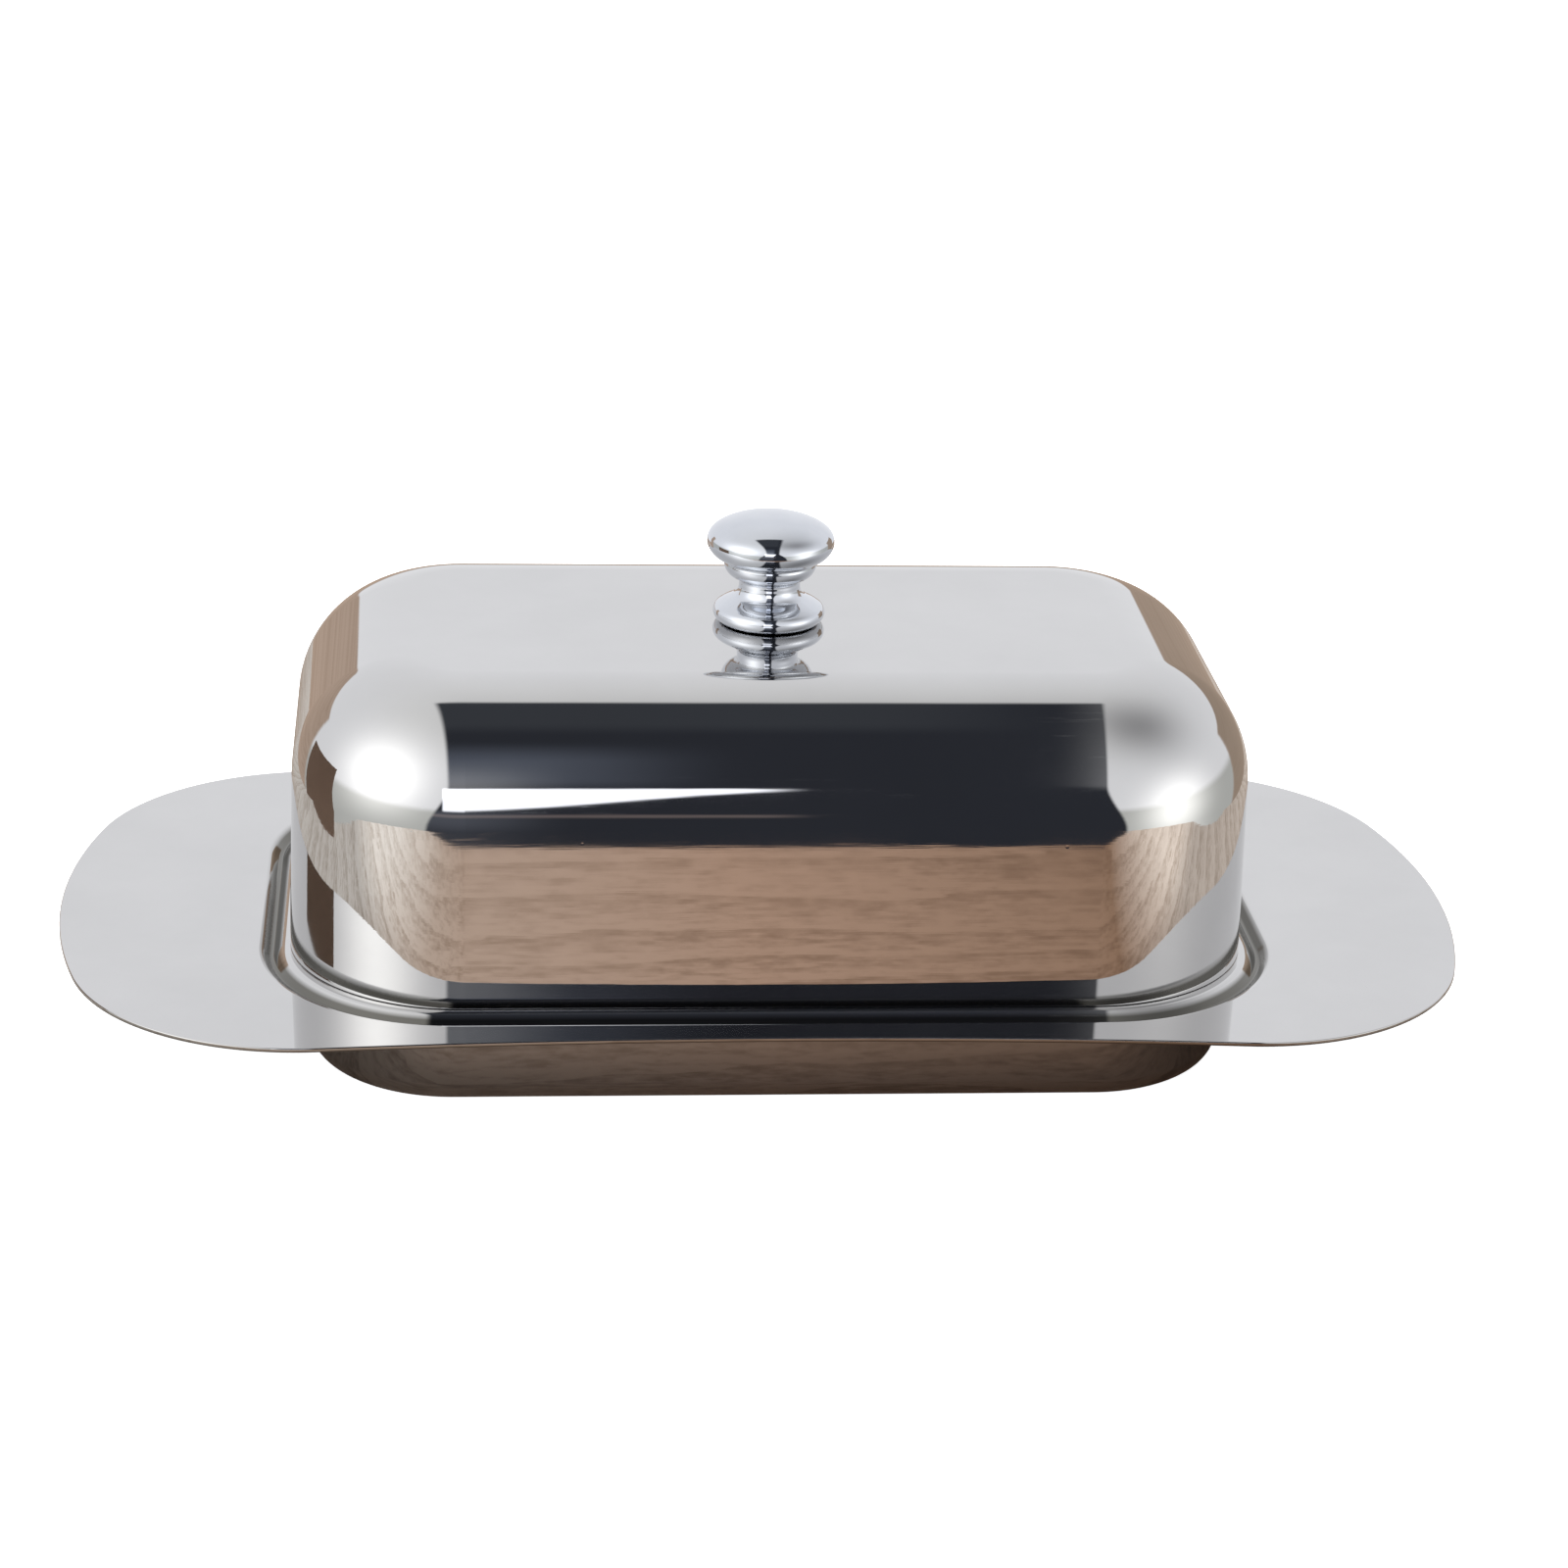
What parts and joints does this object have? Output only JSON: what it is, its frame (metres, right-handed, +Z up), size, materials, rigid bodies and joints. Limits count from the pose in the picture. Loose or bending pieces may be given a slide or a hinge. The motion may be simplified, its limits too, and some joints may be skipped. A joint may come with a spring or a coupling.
{
  "type": "butter dish",
  "caption": "Covered butter dish: long shallow tray with a wing at each end, deep rounded rectangular lift-off cover and a turned mushroom knob.",
  "frame": {"origin": "middle of the flat underside of the tray's well, which rests on the table", "axes": "+X along the length from wing to wing, +Y from the front long side to the back long side, +Z up through the knob"},
  "size_m": [0.19, 0.0964, 0.0694],
  "materials": {
    "tray_steel": "mirror polished stainless sheet with faint wiping marks",
    "cover_steel": "mirror polished stainless sheet with faint wiping marks",
    "knob_chrome": "bright chrome plate over a turned core",
    "washer_steel": "plain stainless, satin",
    "screw_steel": "bright stainless"
  },
  "bodies": {
    "tray": {"tray": "tray_steel"},
    "cover": {"cover_shell": "cover_steel", "knob": "knob_chrome", "knob_washer": "washer_steel", "knob_screw": "screw_steel"}
  },
  "joints": [
    {"name": "cover_lift", "type": "slide", "parent": "tray", "child": "cover", "axis": [0, 0, 1], "range_m": [0, 0.1]}
  ]
}
